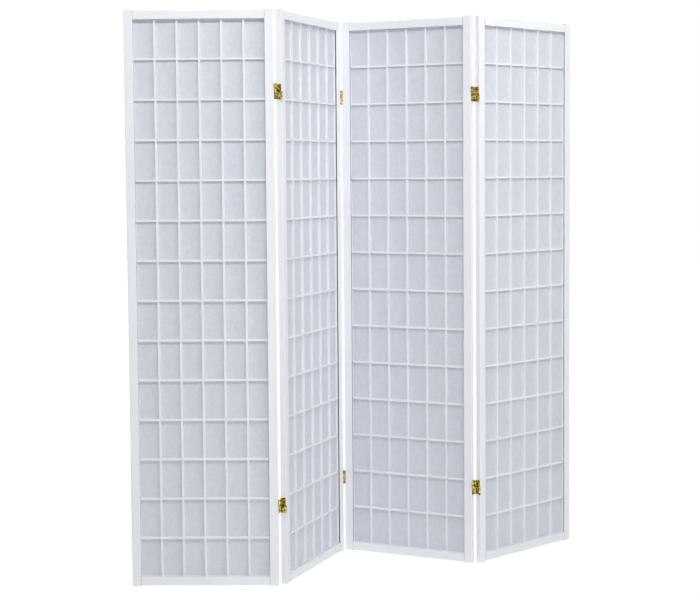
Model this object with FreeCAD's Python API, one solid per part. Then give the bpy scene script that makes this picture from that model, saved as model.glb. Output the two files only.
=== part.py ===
import FreeCAD, Part
import math
import os

from FreeCAD import Vector, Placement, Rotation

# Four-panel folding screen with lattice and paper, standing in a zig-zag.
# Millimetres, +Z up, +X to the right, +Y away from the viewer.
# The origin is the centre of the bottom of the bounding box, on the floor.

# ---- driving dimensions: panels ----
panel_count = 4
panel_width = 457.0
panel_height = 1784.0
panel_thickness = 18.0
stile_width = 27.0
top_rail_height = 25.0
bottom_rail_height = 27.0
horn_height = 3.0            # how far the stiles stand past the rails, top and bottom
outer_edge_radius = 2.0      # long outer edges of the stiles
inner_edge_radius = 1.0      # long edges that face the lattice, and the rails' edges

# ---- driving dimensions: lattice and paper ----
columns = 6
rows = 14
bar_width = 6.0
bar_depth = 7.0
lip_thickness = 2.5          # wood left in front of the rebate
lip_gap = 3.5                # shadow gap between the lip and the lattice
bar_tenon = 3.0              # stub tenons of the bars in the border strips
paper_thickness = 0.4
paper_margin = 1.0           # the sheet ends this far inside the lattice's outer edge

# ---- driving dimensions: corner dowels ----
dowel_diameter = 6.0
dowel_length = 36.0
dowel_spacing = 8.0          # the pair sits in the middle of the rail's solid wood

# ---- driving dimensions: hinges ----
hinge_height = 47.0
hinge_end_distance = 250.0   # hinge centre to the top or the foot of the stile
axis_proud = 1.0             # pin axes stand this far outside the faces of the panels
knuckle_radius = 3.5
knuckle_clearance = 0.7      # between a knuckle and the edge of the stile beside it
pin_radius = 1.25
pin_clearance = 0.05         # running fit of the links on the pins
leaf_thickness = 1.2
link_thickness = 1.6
leaf_knuckle_height = 5.6
knuckle_gap = 0.15           # between two knuckles on one pin
half_gap = 0.3               # between the upper and the lower half of a hinge
leaf_relief = 0.3            # a leaf stays this far off the other leaf's knuckles
screw_head_radius = 2.8
screw_shank_radius = 1.4
screw_length = 14.0
screw_end_distance = 6.0     # outer screws to the ends of the leaf
cross_length = 3.0           # cross recess in the screw heads
cross_width = 0.7
cross_depth = 0.6

cut_overrun = 1.0            # cutters run this far past the face they cut
same_place = 0.01            # edges this near a plane lie in it
same_direction = 0.999       # cosine above which an edge runs along an axis

# ---- pose of the screen as it stands ----
first_panel_turn = -2.0      # degrees, positive turns the right end away
rest_folds = [68.0, 92.0, 67.0]
ridge_joints = [True, False, True]   # True folds about the back pins, False about the front

# ---- worked-out sizes ----
opening_left = stile_width
opening_right = panel_width - stile_width
opening_bottom = horn_height + bottom_rail_height
opening_top = panel_height - horn_height - top_rail_height
opening_width = opening_right - opening_left
opening_height = opening_top - opening_bottom
lattice_front = lip_thickness + lip_gap
lattice_back = lattice_front + bar_depth
column_pitch = (opening_width + bar_width) / columns
row_pitch = (opening_height + bar_width) / rows
half_panel_gap = knuckle_radius + knuckle_clearance
front_axis_depth = -axis_proud
back_axis_depth = panel_thickness + axis_proud
half_height = (hinge_height - half_gap) / 2.0
screw_spacing = hinge_height / 2.0 - screw_end_distance
hinge_levels = [hinge_end_distance, panel_height - hinge_end_distance]


def block(x0, x1, y0, y1, z0, z1):
    """Box between two corners, in a panel's own axes: across, depth from the front, up."""
    return Part.makeBox(x1 - x0, y1 - y0, z1 - z0, Vector(x0, y0, z0))


def rod(radius, length, start, direction):
    return Part.makeCylinder(radius, length, start, direction)


def united(shapes):
    """One solid from touching or overlapping shapes."""
    if len(shapes) == 1:
        return shapes[0]
    return shapes[0].multiFuse(shapes[1:]).removeSplitter()


def round_long_edges(shape, axis, radius_at):
    """Round the edges along one axis; radius_at gives the radius at an edge's middle, or 0."""
    chosen = {}
    for edge in shape.Edges:
        run = edge.Vertexes[-1].Point.sub(edge.Vertexes[0].Point)
        if run.Length > 0 and abs(run.normalize().dot(axis)) > same_direction:
            radius = radius_at(edge.CenterOfMass)
            if radius > 0:
                chosen.setdefault(radius, []).append(edge)
    for radius, edges in chosen.items():
        shape = shape.makeFillet(radius, edges)
    return shape


# ---- one panel, in its own axes ----
def rebate():
    """The space behind the lip that takes the lattice, shared by stiles and rails."""
    return block(opening_left - bar_width, opening_right + bar_width,
                 lip_thickness, panel_thickness + cut_overrun,
                 opening_bottom - bar_width, opening_top + bar_width)


def dowel_places():
    """Centre of each dowel, on the joint line between a rail and a stile."""
    top_middle = panel_height - horn_height - (top_rail_height - bar_width) / 2
    bottom_middle = horn_height + (bottom_rail_height - bar_width) / 2
    return [Vector(joint_line, panel_thickness / 2, middle + step * dowel_spacing / 2)
            for joint_line in (opening_left, opening_right)
            for middle in (bottom_middle, top_middle)
            for step in (-1, 1)]


def dowels():
    return [rod(dowel_diameter / 2, dowel_length, place - Vector(dowel_length / 2, 0, 0),
                Vector(1, 0, 0)) for place in dowel_places()]


def screw_places(side):
    """Where the hinge screws of one edge enter; side is -1 for the left edge, 1 for the right."""
    edge = 0.0 if side < 0 else panel_width
    return [Vector(edge, panel_thickness / 2, level + step * screw_spacing)
            for level in hinge_levels for step in (-1, 0, 1)]


def screw_head(side, place):
    """Countersunk head, flush with the outside of the leaf."""
    inward = Vector(-side, 0, 0)
    return Part.makeCone(screw_head_radius, screw_shank_radius, leaf_thickness,
                         place - inward * leaf_thickness, inward)


def screw_shank(side, place):
    """Shank and point of a hinge screw, and so also its hole in the stile."""
    inward = Vector(-side, 0, 0)
    point_length = 2 * screw_shank_radius
    shank_length = screw_length - leaf_thickness - point_length
    point = Part.makeCone(screw_shank_radius, 0.0, point_length,
                          place + inward * shank_length, inward)
    return united([rod(screw_shank_radius, shank_length, place, inward), point])


def screw(side, place):
    """Wood screw with a cross recess, through a leaf into the stile."""
    body = united([screw_head(side, place), screw_shank(side, place)])
    half_length, half_width = cross_length / 2, cross_width / 2
    for half_y, half_z in ((half_length, half_width), (half_width, half_length)):
        slot = block(-cross_depth, cross_depth, -half_y, half_y, -half_z, half_z)
        slot.translate(place + Vector(side * leaf_thickness, 0, 0))
        body = body.cut(slot)
    return body


def screws(side):
    return [screw(side, place) for place in screw_places(side)]


def stile(side, has_hinge):
    """Upright of the frame, full height; its outer edges are rounder than the inner ones."""
    x0 = 0.0 if side < 0 else opening_right
    outer = 0.0 if side < 0 else panel_width

    def radius_at(middle):
        return outer_edge_radius if abs(middle.x - outer) < same_place else inner_edge_radius

    wood = block(x0, x0 + stile_width, 0, panel_thickness, 0, panel_height)
    wood = round_long_edges(wood, Vector(0, 0, 1), radius_at)
    cutters = [rebate()] + dowels()
    if has_hinge:
        cutters += [screw_shank(side, place) for place in screw_places(side)]
    return wood.cut(cutters)


def rail(z0, z1):
    """Cross member between the stiles, with softened long edges and the rebate behind."""
    wood = block(opening_left, opening_right, 0, panel_thickness, z0, z1)
    wood = round_long_edges(wood, Vector(1, 0, 0), lambda middle: inner_edge_radius)
    return wood.cut([rebate()] + dowels())


def upright_positions():
    return [opening_left + step * column_pitch - bar_width / 2 for step in range(1, columns)]


def crossbar_positions():
    return [opening_bottom + step * row_pitch - bar_width / 2 for step in range(1, rows)]


def upright_stick(centre):
    return block(centre - bar_width / 2, centre + bar_width / 2, lattice_front, lattice_back,
                 opening_bottom - bar_tenon, opening_top + bar_tenon)


def crossbar_stick(centre):
    return block(opening_left - bar_tenon, opening_right + bar_tenon, lattice_front, lattice_back,
                 centre - bar_width / 2, centre + bar_width / 2)


def lattice_uprights():
    """Five uprights, notched in front for the crossbars, and the two side border strips."""
    middle = lattice_front + bar_depth / 2
    notches = [block(0, panel_width, lattice_front - cut_overrun, middle,
                     z - bar_width / 2, z + bar_width / 2) for z in crossbar_positions()]
    bars = [upright_stick(x).cut(notches) for x in upright_positions()]
    tenons = [crossbar_stick(z) for z in crossbar_positions()]
    for x0 in (opening_left - bar_width, opening_right):
        strip = block(x0, x0 + bar_width, lattice_front, lattice_back,
                      opening_bottom - bar_width, opening_top + bar_width)
        bars.append(strip.cut(tenons))
    return bars


def lattice_crossbars():
    """Thirteen crossbars, notched behind for the uprights, and the end border strips."""
    middle = lattice_front + bar_depth / 2
    notches = [block(x - bar_width / 2, x + bar_width / 2, middle, lattice_back + cut_overrun,
                     0, panel_height) for x in upright_positions()]
    bars = [crossbar_stick(z).cut(notches) for z in crossbar_positions()]
    tenons = [upright_stick(x) for x in upright_positions()]
    for z0 in (opening_bottom - bar_width, opening_top):
        strip = block(opening_left, opening_right, lattice_front, lattice_back, z0, z0 + bar_width)
        bars.append(strip.cut(tenons))
    return bars


def paper():
    """One sheet glued to the back of the lattice."""
    reach = bar_width - paper_margin
    return block(opening_left - reach, opening_right + reach,
                 lattice_back, lattice_back + paper_thickness,
                 opening_bottom - reach, opening_top + reach)


# ---- hinge pieces, in the axes of the panel that carries them ----
def axis_across(side):
    """Where the pin axes lie across the panel, outside its left (-1) or right (1) edge."""
    return -half_panel_gap if side < 0 else panel_width + half_panel_gap


def half_bottom(level, upper):
    """Lowest height of the upper or lower half of a hinge centred on a level."""
    return level + half_gap / 2 if upper else level - half_gap / 2 - half_height


def ring(side, depth, z0, height):
    """Round knuckle on a pin axis, before it is bored."""
    return rod(knuckle_radius, height, Vector(axis_across(side), depth, z0), Vector(0, 0, 1))


def bore(side, depth, z0, height, radius):
    """Cutter for the pin's hole, a little longer than the knuckle at both ends."""
    overrun = knuckle_gap / 2
    start = Vector(axis_across(side), depth, z0 - overrun)
    return rod(radius, height + 2 * overrun, start, Vector(0, 0, 1))


def leaf(side, level):
    """Plate on the edge of a stile with a tab out to each of its own knuckles.

    The left panel's leaf has its front knuckles in the upper half of the hinge.
    """
    edge = 0.0 if side < 0 else panel_width
    x0, x1 = sorted((edge, edge + side * leaf_thickness))
    reach = half_panel_gap - leaf_thickness
    relief = math.sqrt((knuckle_radius + leaf_relief) ** 2 - reach ** 2)
    plate_front = front_axis_depth + relief
    plate_back = back_axis_depth - relief
    solids = [block(x0, x1, plate_front, plate_back,
                    level - hinge_height / 2, level + hinge_height / 2)]
    bores = [screw_head(side, place) for place in screw_places(side)]
    for upper in (True, False):
        z_half = half_bottom(level, upper)
        front = upper == (side > 0)
        y0, y1 = (front_axis_depth, plate_front) if front else (plate_back, back_axis_depth)
        depth = front_axis_depth if front else back_axis_depth
        for z0 in (z_half, z_half + half_height - leaf_knuckle_height):
            solids.append(block(x0, x1, y0, y1, z0, z0 + leaf_knuckle_height))
            solids.append(ring(side, depth, z0, leaf_knuckle_height))
            bores.append(bore(side, depth, z0, leaf_knuckle_height, pin_radius))
    return united(solids).cut(bores)


def link(side, level, upper):
    """Flat link with a knuckle at each end, from a front pin to a back pin."""
    z0 = half_bottom(level, upper) + leaf_knuckle_height + knuckle_gap
    height = half_height - 2 * (leaf_knuckle_height + knuckle_gap)
    x = axis_across(side)
    solids = [block(x - link_thickness / 2, x + link_thickness / 2,
                    front_axis_depth, back_axis_depth, z0, z0 + height)]
    bores = []
    for depth in (front_axis_depth, back_axis_depth):
        solids.append(ring(side, depth, z0, height))
        bores.append(bore(side, depth, z0, height, pin_radius + pin_clearance))
    return united(solids).cut(bores)


def pins(side, level):
    """The two pins fixed in a leaf: one on its front knuckles, one on its back knuckles."""
    result = []
    for upper in (True, False):
        front = upper == (side > 0)
        depth = front_axis_depth if front else back_axis_depth
        start = Vector(axis_across(side), depth, half_bottom(level, upper))
        result.append(rod(pin_radius, half_height, start, Vector(0, 0, 1)))
    return result


# ---- standing the panels in their zig-zag ----
def panel_placements():
    """Placement of each panel's front left foot corner, and the axis of each joint."""
    turn = first_panel_turn
    corner = Vector(0, 0, 0)
    placements, axes = [], []
    for index in range(panel_count):
        spin = Rotation(Vector(0, 0, 1), turn)
        placements.append(Placement(corner, spin))
        if index == panel_count - 1:
            break
        ridge = ridge_joints[index]
        depth = back_axis_depth if ridge else front_axis_depth
        axis = placements[-1].multVec(Vector(panel_width + half_panel_gap, depth, 0))
        turn += rest_folds[index] if ridge else -rest_folds[index]
        spin = Rotation(Vector(0, 0, 1), turn)
        corner = axis - spin.multVec(Vector(-half_panel_gap, depth, 0))
        axes.append(axis)
    return placements, axes


def panel_nodes(index):
    """Wood, lattice, dowels and paper of one panel."""
    name = "panel_%d_" % (index + 1)
    return {
        name + "stile_left": [stile(-1, index > 0)],
        name + "stile_right": [stile(1, index < panel_count - 1)],
        name + "top_rail": [rail(opening_top, panel_height - horn_height)],
        name + "bottom_rail": [rail(horn_height, opening_bottom)],
        name + "dowels": dowels(),
        name + "lattice_uprights": lattice_uprights(),
        name + "lattice_crossbars": lattice_crossbars(),
        name + "paper": [paper()],
    }


def hinge_nodes(index):
    """Pieces of the hinges between panel index and the next: name -> (panel, solids).

    About the back pins the upper links stay with the left panel and the lower links
    with the right one; about the front pins it is the other way round.
    """
    name = "hinge_%d_" % (index + 1)
    left, right = index, index + 1
    upper_on, lower_on = (left, right) if ridge_joints[index] else (right, left)
    side_of = {left: 1, right: -1}
    return {
        name + "leaves_left": (left, [leaf(1, level) for level in hinge_levels]),
        name + "leaves_right": (right, [leaf(-1, level) for level in hinge_levels]),
        name + "upper_links": (upper_on, [link(side_of[upper_on], level, True)
                                          for level in hinge_levels]),
        name + "lower_links": (lower_on, [link(side_of[lower_on], level, False)
                                          for level in hinge_levels]),
        name + "pins_left": (left, [pin for level in hinge_levels for pin in pins(1, level)]),
        name + "pins_right": (right, [pin for level in hinge_levels for pin in pins(-1, level)]),
        name + "screws_left": (left, screws(1)),
        name + "screws_right": (right, screws(-1)),
    }


def main():
    placements, axes = panel_placements()
    nodes = {}
    for index in range(panel_count):
        for name, solids in panel_nodes(index).items():
            nodes[name] = (index, solids)
    for index in range(panel_count - 1):
        nodes.update(hinge_nodes(index))

    placed = {}
    box = FreeCAD.BoundBox()
    for name, (index, solids) in nodes.items():
        shape = Part.makeCompound(solids)
        shape.Placement = placements[index].multiply(shape.Placement)
        box.add(shape.BoundBox)
        placed[name] = shape

    shift = Vector(-box.Center.x, -box.Center.y, -box.ZMin)
    os.makedirs("parts", exist_ok=True)
    for name, shape in placed.items():
        shape.translate(shift)
        solids = shape.Solids
        result = solids[0] if len(solids) == 1 else Part.makeCompound(solids)
        result.exportStep("parts/%s.step" % name)

    print("nodes", len(placed), "size", round(box.XLength, 2), round(box.YLength, 2),
          round(box.ZLength, 2))
    for index, axis in enumerate(axes):
        place = axis + shift
        print("joint", index + 1, "axis at", round(place.x, 3), round(place.y, 3))
    for index, placement in enumerate(placements):
        corner = placement.Base + shift
        print("panel", index + 1, "front left corner", round(corner.x, 3), round(corner.y, 3))
    print("pitches", round(column_pitch, 3), round(row_pitch, 3))


main()
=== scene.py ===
import math

import bmesh
import bpy
from mathutils import Matrix, Vector, noise


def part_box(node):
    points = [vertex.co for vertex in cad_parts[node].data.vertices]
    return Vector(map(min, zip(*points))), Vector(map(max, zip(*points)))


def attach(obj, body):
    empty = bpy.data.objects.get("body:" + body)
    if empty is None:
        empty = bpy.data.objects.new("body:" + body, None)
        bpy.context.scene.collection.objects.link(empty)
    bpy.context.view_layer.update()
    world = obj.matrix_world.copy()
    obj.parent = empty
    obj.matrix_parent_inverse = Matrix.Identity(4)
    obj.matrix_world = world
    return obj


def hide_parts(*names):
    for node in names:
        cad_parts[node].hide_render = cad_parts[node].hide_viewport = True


# White four-panel folding screen: lacquered softwood, laminated paper, brass-plated hinges.
# Metres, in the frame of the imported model: +Z up, +Y away from the viewer, floor at zero.

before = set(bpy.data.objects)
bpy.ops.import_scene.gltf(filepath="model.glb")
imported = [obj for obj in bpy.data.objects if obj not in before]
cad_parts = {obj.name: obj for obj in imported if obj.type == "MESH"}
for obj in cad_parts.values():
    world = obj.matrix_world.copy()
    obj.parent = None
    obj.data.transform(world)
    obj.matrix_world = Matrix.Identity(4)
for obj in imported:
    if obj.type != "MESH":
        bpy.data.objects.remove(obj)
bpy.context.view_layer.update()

PANELS = (1, 2, 3, 4)
HINGES = (1, 2, 3)
MM = 0.001

# ---- the lattice that the paper is glued to ----
COLUMNS = 6
ROWS = 14
BAR_WIDTH = 6 * MM
BAR_DEPTH = 7 * MM             # front of the bars to the paper
GROOVE = 3.5 * MM              # shadow gap between the lattice's border and the frame's lip
PAPER_LAP = 5 * MM             # the sheet reaches this far past the opening, onto the border strips

# ---- the sheet of paper ----
PAPER_THICKNESS = 0.35 * MM
GLUE_LINE = 0.05 * MM          # glue between the bars and the paper
SLACK = 0.7 * MM               # how far the paper bellies back in the middle of a cell
SLACK_PATCH = 90 * MM          # size of the tight and slack areas
EVEN_SLACK = 0.55              # share of the slack that a cell has where it is neither
CELL_STEPS_ACROSS = 6
CELL_STEPS_UP = 9


# ---------------------------------------------------------------- where a panel stands
def panel_plan(panel):
    """Foot of the paper's front left edge, the direction across the panel, and its width."""
    points = {(round(v.co.x, 6), round(v.co.y, 6))
              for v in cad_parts[f"panel_{panel}_paper"].data.vertices}
    corners = [Vector((x, y, 0)) for x, y in points]
    start = min(corners, key=lambda c: c.x)
    far = sorted(corners, key=lambda c: (c - start).length)
    thickness, width = (far[1] - start).length, (far[2] - start).length
    across = (far[2] - start).normalized()
    back = Vector((-across.y, across.x, 0))
    if (far[1] - start).dot(back) < 0:
        start = far[1]
    return start, across, back, width, thickness


# ---------------------------------------------------------------- colours and shader nodes
def linear(hex_colour):
    """A colour written as sRGB hex, as linear RGBA."""
    channels = [int(hex_colour[i:i + 2], 16) / 255 for i in (1, 3, 5)]
    return (*(c / 12.92 if c <= 0.04045 else ((c + 0.055) / 1.055) ** 2.4 for c in channels), 1.0)


def add(tree, kind, inputs=None, **settings):
    """Add a shader node; inputs gives each socket a value or another node's output."""
    node = tree.nodes.new("ShaderNode" + kind)
    for name, value in settings.items():
        setattr(node, name, value)
    for socket, value in (inputs or {}).items():
        if isinstance(value, bpy.types.NodeSocket):
            tree.links.new(value, node.inputs[socket])
        else:
            node.inputs[socket].default_value = value
    return node


def new_material(name):
    """An empty material and its node tree."""
    material = bpy.data.materials.new(name)
    material.use_nodes = True
    material.node_tree.nodes.clear()
    return material, material.node_tree


def per(size):
    """Noise scale, in features per metre, for features of a real size."""
    return 1.0 / size


# ---------------------------------------------------------------- finishes
LACQUER = "#F3F5F8"
FRAME_GROWTH_LINE = "#EEF0F4"
LATTICE_GROWTH_LINE = "#ECEEF2"
# painted shade: a dark colour for the grooves behind the stiles' lips, standing in for the shade in
# the gap
GROOVE_PAINTED_SHADE = "#4A474C"
GROOVE_EDGE = 0.05 * MM        # lets the faces that bound the groove take its painted shade too
JOINT_SHADE = "#B0B2B9"
JOINT_LINE = 0.9 * MM          # a real crack is about 0.2 mm, drawn wider so that it shows
LIGHT_THROUGH_PAPER = 0.09     # share of the sheet's look that is light from behind


def painted_groove_shade(tree, paper_place, width, height):
    """1 in the grooves behind the stiles' lips, at both sides of the lattice, where a dark painted
    shade goes, else 0.

    paper_place is measured across, back and up from the foot of the paper's left edge.
    """
    middle = (width / 2, -BAR_DEPTH - GROOVE / 2, height / 2)
    half_opening = (width / 2 - PAPER_LAP, 0, height / 2 - PAPER_LAP + BAR_WIDTH)
    offset = add(tree, "VectorMath", {0: paper_place, 1: middle}, operation="SUBTRACT")
    distance = add(tree, "VectorMath", {0: offset.outputs[0]}, operation="ABSOLUTE")
    outside = add(tree, "VectorMath", {0: distance.outputs[0], 1: half_opening},
                  operation="SUBTRACT")
    parts = add(tree, "SeparateXYZ", {0: outside.outputs[0]})
    past_opening = add(tree, "Math", {0: parts.outputs["X"], 1: parts.outputs["Z"]},
                       operation="MAXIMUM")
    behind_lip = add(tree, "Math", {0: past_opening.outputs[0], 1: BAR_WIDTH / 2,
                                    2: BAR_WIDTH / 2 + GROOVE_EDGE}, operation="COMPARE")
    at_depth = add(tree, "Math", {0: parts.outputs["Y"], 1: GROOVE / 2 + 0.01 * MM},
                   operation="LESS_THAN")
    return add(tree, "Math", {0: behind_lip.outputs[0], 1: at_depth.outputs[0]},
               operation="MULTIPLY").outputs[0]


def at_joint(tree, paper_place, width):
    """1 on the ends of a rail, in the line where it meets a stile, else 0."""
    across = add(tree, "SeparateXYZ", {0: paper_place})
    offset = add(tree, "Math", {0: across.outputs["X"], 1: width / 2}, operation="SUBTRACT")
    distance = add(tree, "Math", {0: offset.outputs[0]}, operation="ABSOLUTE")
    return add(tree, "Math", {0: distance.outputs[0], 1: width / 2 - PAPER_LAP, 2: JOINT_LINE},
               operation="COMPARE").outputs[0]


def lacquered_spruce(name, colour, shade, panel, lengthwise, jointed):
    """Spruce, planed and sprayed with satin white lacquer.

    To the eye: an even cool white with a soft sheen, in which the growth lines of the wood
    only just telegraph along the piece, with the faint dimples that a spray gun leaves. The
    grooves behind the stiles' lips are coloured dark, a painted shade of the gap there. On a
    jointed piece, a rail, the lacquer has a fine grey line where it meets the stile.
    lengthwise is the axis that the wood runs along in its panel.
    """
    line_spacing = 2.6 * MM        # late wood of the growth rings, on a flat-sawn face
    line_length = 160 * MM
    dimple = 3.0 * MM              # real orange peel is about 1 mm, drawn coarser so that it shows
    patch = 220 * MM               # thicker and thinner coats
    material, tree = new_material(name)
    place = add(tree, "TexCoord").outputs["Object"]
    foot, across, _, width, _ = panel_plan(panel)
    low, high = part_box(f"panel_{panel}_paper")
    turn_back = Matrix.Rotation(-math.atan2(across.y, across.x), 3, "Z")
    origin = -(turn_back @ Vector((foot.x, foot.y, low.z)))
    panel_place = add(tree, "Mapping", {"Vector": place, "Location": origin,
                                        "Rotation": turn_back.to_euler()})
    stretch = [per(line_spacing)] * 3
    stretch[lengthwise] = per(line_length)
    along = add(tree, "Mapping", {"Vector": panel_place.outputs[0], "Scale": stretch})
    lines = add(tree, "TexNoise", {"Vector": along.outputs[0], "Scale": 1.0, "Detail": 3.0,
                                   "Roughness": 0.55, "Distortion": 0.25})
    dimples = add(tree, "TexNoise", {"Vector": place, "Scale": per(dimple), "Detail": 1.0})
    patches = add(tree, "TexNoise", {"Vector": place, "Scale": per(patch), "Detail": 2.0})
    tone = add(tree, "Mix", {0: lines.outputs["Fac"], 6: linear(shade), 7: linear(colour)},
               data_type="RGBA")
    coat = add(tree, "MapRange", {"Value": patches.outputs["Fac"], "From Min": 0.3,
                                  "From Max": 0.7, "To Min": 0.975, "To Max": 1.0})
    lacquer = add(tree, "VectorMath", {0: tone.outputs[2], "Scale": coat.outputs[0]},
                  operation="SCALE")
    groove = painted_groove_shade(tree, panel_place.outputs[0], width, high.z - low.z)
    # painted shade: the grooves behind the stiles' lips are coloured dark
    base = add(tree, "Mix", {0: groove, 6: lacquer.outputs[0], 7: linear(GROOVE_PAINTED_SHADE)},
               data_type="RGBA")
    if jointed:
        joint = at_joint(tree, panel_place.outputs[0], width)
        base = add(tree, "Mix", {0: joint, 6: base.outputs[2], 7: linear(JOINT_SHADE)},
                   data_type="RGBA")
    gloss = add(tree, "MapRange", {"Value": patches.outputs["Fac"], "From Min": 0.3,
                                   "From Max": 0.7, "To Min": 0.36, "To Max": 0.48})
    grain_bump = add(tree, "Bump", {"Height": lines.outputs["Fac"], "Strength": 0.25,
                                    "Distance": 0.12 * MM})
    bump = add(tree, "Bump", {"Height": dimples.outputs["Fac"], "Strength": 0.15,
                              "Distance": 0.05 * MM, "Normal": grain_bump.outputs[0]})
    surface = add(tree, "BsdfPrincipled", {"Base Color": base.outputs[2],
                                           "Roughness": gloss.outputs[0], "IOR": 1.5,
                                           "Normal": bump.outputs[0]})
    add(tree, "OutputMaterial", {"Surface": surface.outputs[0]})
    return material


def laminated_paper(name):
    """Mulberry-fibre shoji paper laminated with a clear film, white with a cool cast.

    To the eye: a matt, slightly cloudy sheet with long pale fibres in all directions and
    darker thin places; light comes through it, so the bars show from behind as shadows.
    """
    fibre_curl = 26 * MM           # how far a fibre runs before it turns
    fibre_breadth = 0.06           # half width of a fibre, as a share of the curl's noise
    cloud = 14 * MM                # uneven pulp
    fleck = 3.2 * MM               # real flecks are about 1 mm, drawn coarser so that they show
    material, tree = new_material(name)
    place = add(tree, "TexCoord").outputs["Object"]
    stretched = add(tree, "Mapping", {"Vector": place, "Scale": (1.0, 1.0, 0.55)})
    clouds = add(tree, "TexNoise", {"Vector": stretched.outputs[0], "Scale": per(cloud),
                                    "Detail": 3.0, "Roughness": 0.6})
    flecks = add(tree, "TexNoise", {"Vector": stretched.outputs[0], "Scale": per(fleck),
                                    "Detail": 2.0, "Roughness": 0.6})
    fibres = None
    for seed in (0.0, 7.3):
        shifted = add(tree, "Mapping", {"Vector": place, "Location": (seed, seed, seed)})
        curls = add(tree, "TexNoise", {"Vector": shifted.outputs[0], "Scale": per(fibre_curl),
                                       "Detail": 1.0, "Distortion": 0.6})
        offset = add(tree, "Math", {0: curls.outputs["Fac"], 1: 0.5}, operation="SUBTRACT")
        distance = add(tree, "Math", {0: offset.outputs[0]}, operation="ABSOLUTE")
        line = add(tree, "MapRange", {"Value": distance.outputs[0], "From Min": 0.0,
                                      "From Max": fibre_breadth, "To Min": 1.0, "To Max": 0.0})
        if fibres is None:
            fibres = line.outputs[0]
        else:
            fibres = add(tree, "Math", {0: fibres, 1: line.outputs[0]},
                         operation="MAXIMUM").outputs[0]
    pulp = add(tree, "Mix", {0: clouds.outputs["Fac"], 6: linear("#DADDE6"),
                             7: linear("#E2E5ED")}, data_type="RGBA")
    flecked = add(tree, "Mix", {0: flecks.outputs["Fac"], 6: linear("#D8DCE5"),
                                7: pulp.outputs[2]}, data_type="RGBA")
    strength = add(tree, "Math", {0: fibres, 1: 0.3}, operation="MULTIPLY")
    colour = add(tree, "Mix", {0: strength.outputs[0], 6: flecked.outputs[2],
                               7: linear("#EBEDF3")}, data_type="RGBA")
    relief = add(tree, "Bump", {"Height": fibres, "Strength": 0.15, "Distance": 0.06 * MM})
    front = add(tree, "BsdfPrincipled", {"Base Color": colour.outputs[2], "Roughness": 0.62,
                                         "IOR": 1.46, "Normal": relief.outputs[0]})
    through = add(tree, "BsdfTranslucent", {"Color": colour.outputs[2]})
    both = add(tree, "MixShader", {0: LIGHT_THROUGH_PAPER, 1: front.outputs[0],
                                   2: through.outputs[0]})
    add(tree, "OutputMaterial", {"Surface": both.outputs[0]})
    return material


def plated_brass(name, colour, tarnish, roughness):
    """Pressed steel with thin bright brass plating and a clear lacquer.

    To the eye: yellow metal, glossy on the flats and browner where the plating is thin.
    """
    patch = 6 * MM                 # real stains are about 2 mm, drawn coarser so that they show
    scratch = 0.8 * MM
    material, tree = new_material(name)
    place = add(tree, "TexCoord").outputs["Object"]
    patches = add(tree, "TexNoise", {"Vector": place, "Scale": per(patch), "Detail": 3.0})
    stretched = add(tree, "Mapping", {"Vector": place, "Scale": (1.0, 1.0, 0.1)})
    scratches = add(tree, "TexNoise", {"Vector": stretched.outputs[0], "Scale": per(scratch),
                                       "Detail": 2.0})
    spread = add(tree, "MapRange", {"Value": patches.outputs["Fac"], "From Min": 0.4,
                                    "From Max": 0.6, "To Min": 0.0, "To Max": 1.0})
    tone = add(tree, "Mix", {0: spread.outputs[0], 6: linear(tarnish), 7: linear(colour)},
               data_type="RGBA")
    gloss = add(tree, "MapRange", {"Value": scratches.outputs["Fac"], "From Min": 0.3,
                                   "From Max": 0.7, "To Min": roughness,
                                   "To Max": roughness + 0.14})
    relief = add(tree, "Bump", {"Height": scratches.outputs["Fac"], "Strength": 0.2,
                                "Distance": 0.03 * MM})
    surface = add(tree, "BsdfPrincipled", {"Base Color": tone.outputs[2], "Metallic": 1.0,
                                           "Roughness": gloss.outputs[0],
                                           "Normal": relief.outputs[0]})
    add(tree, "OutputMaterial", {"Surface": surface.outputs[0]})
    return material


def bare_beech(name):
    """Beech dowel, turned and left bare; it is inside the corner joints and hardly seen."""
    ray_fleck = 1.2 * MM
    material, tree = new_material(name)
    place = add(tree, "TexCoord").outputs["Object"]
    flecks = add(tree, "TexNoise", {"Vector": place, "Scale": per(ray_fleck), "Detail": 2.0})
    tone = add(tree, "Mix", {0: flecks.outputs["Fac"], 6: linear("#B98A5E"),
                             7: linear("#D9B28A")}, data_type="RGBA")
    surface = add(tree, "BsdfPrincipled", {"Base Color": tone.outputs[2], "Roughness": 0.6})
    add(tree, "OutputMaterial", {"Surface": surface.outputs[0]})
    return material


# ---------------------------------------------------------------- paper sheets
def cell_stops(count, length, steps):
    """Places along one direction of the sheet: each bar's edges and some between them.

    Each place comes with its share of the way over the clear cell, or 0 on a bar.
    """
    opening = length - 2 * PAPER_LAP
    pitch = (opening + BAR_WIDTH) / count
    stops = [(0.0, 0.0)]
    for cell in range(count):
        start = PAPER_LAP + cell * pitch
        clear = pitch - BAR_WIDTH
        stops += [(start + clear * step / steps, step / steps) for step in range(steps + 1)]
    stops.append((length, 0.0))
    return stops


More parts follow.
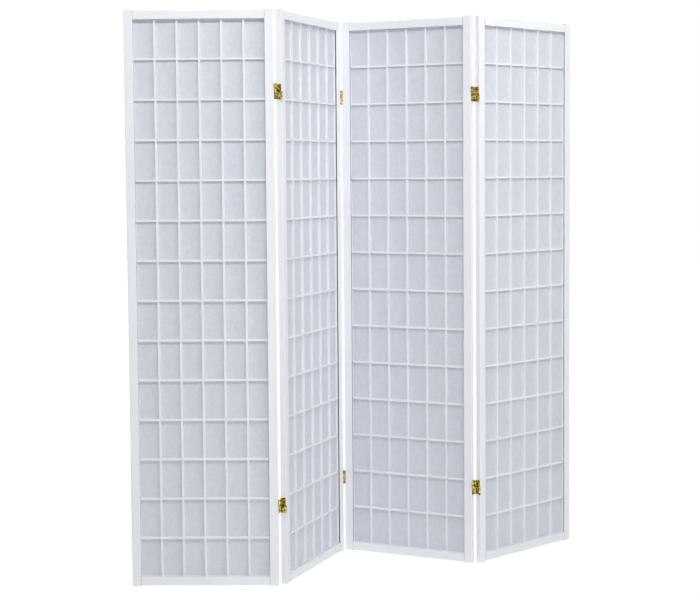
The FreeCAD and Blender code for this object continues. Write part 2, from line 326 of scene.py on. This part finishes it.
def paper_sheet(panel, material):
    """The sheet glued over the back of one lattice, flat on the bars and slack between them."""
    node = f"panel_{panel}_paper"
    start, across, back, width, thickness = panel_plan(panel)
    low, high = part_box(node)
    stops_across = cell_stops(COLUMNS, width, CELL_STEPS_ACROSS)
    stops_up = cell_stops(ROWS, high.z - low.z, CELL_STEPS_UP)

    def depth(u, share_u, v, share_v):
        patch = noise.noise(Vector((u / SLACK_PATCH + panel * 3.7, v / SLACK_PATCH, panel)))
        belly = math.sin(math.pi * share_u) * math.sin(math.pi * share_v)
        return GLUE_LINE + SLACK * belly * (EVEN_SLACK + patch)

    mesh = bmesh.new()
    layers = []
    for behind in (0.0, PAPER_THICKNESS):
        layers.append([[mesh.verts.new(start + across * u + Vector((0, 0, low.z + v))
                                       + back * (depth(u, a, v, b) + behind))
                        for u, a in stops_across] for v, b in stops_up])
    rows, columns = len(stops_up), len(stops_across)
    for layer, flip in zip(layers, (False, True)):
        for j in range(rows - 1):
            for i in range(columns - 1):
                quad = [layer[j][i], layer[j][i + 1], layer[j + 1][i + 1], layer[j + 1][i]]
                mesh.faces.new(reversed(quad) if flip else quad)
    rim = [(0, i) for i in range(columns)] + [(j, columns - 1) for j in range(1, rows)]
    rim += [(rows - 1, i) for i in range(columns - 2, -1, -1)]
    rim += [(j, 0) for j in range(rows - 2, 0, -1)]
    for (j0, i0), (j1, i1) in zip(rim, rim[1:] + rim[:1]):
        mesh.faces.new([layers[0][j1][i1], layers[0][j0][i0],
                        layers[1][j0][i0], layers[1][j1][i1]])
    for face in mesh.faces:
        face.smooth = True
    data = bpy.data.meshes.new(f"shoji_sheet_{panel}")
    mesh.to_mesh(data)
    mesh.free()
    sheet = bpy.data.objects.new(f"shoji_sheet_{panel}", data)
    bpy.context.scene.collection.objects.link(sheet)
    data.materials.append(material)
    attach(sheet, f"panel_{panel}")
    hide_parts(node)
    return sheet


def finish(node, material):
    """Give a CAD node its material."""
    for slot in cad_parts[node].material_slots:
        slot.material = material


ALONG_X, ALONG_Z = 0, 2
paper = laminated_paper("laminated_shoji_paper")
for panel in PANELS:
    for kind, colour, shade, parts in (
            ("frame", LACQUER, FRAME_GROWTH_LINE,
             (("stile_left", ALONG_Z), ("stile_right", ALONG_Z),
              ("top_rail", ALONG_X), ("bottom_rail", ALONG_X))),
            ("lattice", LACQUER, LATTICE_GROWTH_LINE,
             (("lattice_uprights", ALONG_Z), ("lattice_crossbars", ALONG_X)))):
        for part, lengthwise in parts:
            direction = "upright" if lengthwise == ALONG_Z else "crosswise"
            name = f"satin_lacquer_on_spruce_{kind}_{direction}_{panel}"
            jointed = kind == "frame" and lengthwise == ALONG_X
            material = (bpy.data.materials.get(name)
                        or lacquered_spruce(name, colour, shade, panel, lengthwise, jointed))
            finish(f"panel_{panel}_{part}", material)
    paper_sheet(panel, paper)

beech = bare_beech("bare_beech_dowel")
for panel in PANELS:
    finish(f"panel_{panel}_dowels", beech)

# ---------------------------------------------------------------- hinges
plate = plated_brass("brass_plated_steel_plate", "#E8D788", "#5A4A18", 0.2)
pin = plated_brass("brass_plated_steel_pin", "#EADB95", "#75652B", 0.14)
screw = plated_brass("brass_plated_wood_screw", "#F0E3AC", "#2F270D", 0.14)
for hinge in HINGES:
    for part in ("leaves_left", "leaves_right", "upper_links", "lower_links"):
        finish(f"hinge_{hinge}_{part}", plate)
    for part in ("pins_left", "pins_right"):
        finish(f"hinge_{hinge}_{part}", pin)
    for part in ("screws_left", "screws_right"):
        finish(f"hinge_{hinge}_{part}", screw)

# ---------------------------------------------------------------- floor, light and camera
FLOOR_SIZE = 30.0
FLOOR_WHITE = "#F2F2F2"
FLOOR_GLOW = 1.09              # keeps the floor white where some of its own grey shows
SHADOW_SHARE = 0.18            # how much of the floor's own shading is seen near the object
SHADOW_NEAR = 1.2              # that share fades out between these distances from the origin
SHADOW_FAR = 2.6


# name, place, point that it faces, width, height, watts, spread in degrees
SOFTBOXES = (
    ("overhead_strip", (0.0, -2.3, 3.5), (0.0, 0.0, 1.4), 3.4, 0.35, 31.0, 130),
    ("right_key", (2.4, -1.5, 3.3), (0.1, 0.0, 1.4), 1.0, 0.5, 12.0, 110),
    ("right_fill", (3.0, -1.4, 1.2), (0.1, 0.0, 0.9), 3.0, 2.2, 7.8, 150),
    ("low_fill", (0.2, -3.6, 0.4), (0.0, 0.0, 0.7), 2.4, 0.7, 16.5, 140),
    ("back_fill", (-1.0, 3.8, 1.9), (0.0, 0.0, 0.9), 3.2, 1.8, 70.0, 150),
)


def seen_directly(tree):
    """1 where a camera, glossy or transmission ray looks, else 0."""
    path = add(tree, "LightPath")
    either = add(tree, "Math", {0: path.outputs["Is Camera Ray"],
                                1: path.outputs["Is Glossy Ray"]}, operation="MAXIMUM")
    return add(tree, "Math", {0: either.outputs[0], 1: path.outputs["Is Transmission Ray"]},
               operation="MAXIMUM").outputs[0]


def studio_floor():
    """Pale floor that looks white and keeps a light shadow of the object."""
    data = bpy.data.meshes.new("studio_floor")
    half = FLOOR_SIZE / 2
    data.from_pydata([(-half, -half, 0), (half, -half, 0), (half, half, 0), (-half, half, 0)],
                     [], [(0, 1, 2, 3)])
    floor = bpy.data.objects.new("studio_floor", data)
    bpy.context.scene.collection.objects.link(floor)
    material, tree = new_material("white_studio_floor")
    matt = add(tree, "BsdfDiffuse", {"Color": linear(FLOOR_WHITE)})
    glow = add(tree, "Emission", {"Color": linear("#FFFFFF"), "Strength": FLOOR_GLOW})
    place = add(tree, "TexCoord").outputs["Object"]
    distance = add(tree, "VectorMath", {0: place}, operation="LENGTH")
    shading_hidden = add(tree, "MapRange", {"Value": distance.outputs["Value"],
                                            "From Min": SHADOW_NEAR, "From Max": SHADOW_FAR,
                                            "To Min": 1 - SHADOW_SHARE, "To Max": 1.0})
    share = add(tree, "Math", {0: seen_directly(tree), 1: shading_hidden.outputs[0]},
                operation="MULTIPLY")
    both = add(tree, "MixShader", {0: share.outputs[0], 1: matt.outputs[0], 2: glow.outputs[0]})
    add(tree, "OutputMaterial", {"Surface": both.outputs[0]})
    data.materials.append(material)


def studio_world(horizon, zenith):
    """White where it is seen, and a soft dome brighter overhead for the light on the object."""
    world = bpy.data.worlds.new("studio_world")
    world.use_nodes = True
    tree = world.node_tree
    tree.nodes.clear()
    direction = add(tree, "TexCoord").outputs["Generated"]
    height = add(tree, "SeparateXYZ", {0: direction}).outputs["Z"]
    level = add(tree, "MapRange", {"Value": height, "From Min": 0.0, "From Max": 0.9,
                                   "To Min": horizon, "To Max": zenith})
    dome = add(tree, "Background", {"Color": linear("#FFFFFF"), "Strength": level.outputs[0]})
    white = add(tree, "Background", {"Color": linear("#FFFFFF"), "Strength": 1.0})
    both = add(tree, "MixShader", {0: seen_directly(tree), 1: dome.outputs[0],
                                   2: white.outputs[0]})
    add(tree, "OutputWorld", {"Surface": both.outputs[0]})
    bpy.context.scene.world = world


def softbox(name, place, target, width, height, power, spread):
    """A rectangular studio light that faces a point on the object."""
    light = bpy.data.lights.new(name, "AREA")
    light.shape = "RECTANGLE"
    light.size, light.size_y = width, height
    light.energy = power
    light.spread = math.radians(spread)
    lamp = bpy.data.objects.new(name, light)
    bpy.context.scene.collection.objects.link(lamp)
    lamp.location = place
    lamp.rotation_euler = (Vector(target) - Vector(place)).to_track_quat("-Z", "Y").to_euler()


studio_floor()
studio_world(horizon=0.02, zenith=0.34)
for softbox_plan in SOFTBOXES:
    softbox(*softbox_plan)

# The photograph is taken from a little left of the middle, at about chest height.
CAMERA_PLACE = (-0.1400, -4.8184, 1.2870)
CAMERA_LENS = 76.06            # on a 36 mm sensor
CAMERA_SHIFT = -0.056
CAMERA_TURN = -1.229           # degrees, to the left
CAMERA_TILT = -3.45            # degrees, a little down
CAMERA_ROLL = -0.434           # degrees

camera_data = bpy.data.cameras.new("camera")
camera_data.lens = CAMERA_LENS
camera_data.shift_y = CAMERA_SHIFT
camera = bpy.data.objects.new("camera", camera_data)
bpy.context.scene.collection.objects.link(camera)
camera.matrix_world = (Matrix.Translation(CAMERA_PLACE)
                       @ Matrix.Rotation(math.radians(CAMERA_TURN), 4, "Z")
                       @ Matrix.Rotation(math.radians(90 + CAMERA_TILT), 4, "X")
                       @ Matrix.Rotation(math.radians(CAMERA_ROLL), 4, "Z"))
bpy.context.scene.camera = camera
bpy.context.scene.view_settings.view_transform = "Standard"
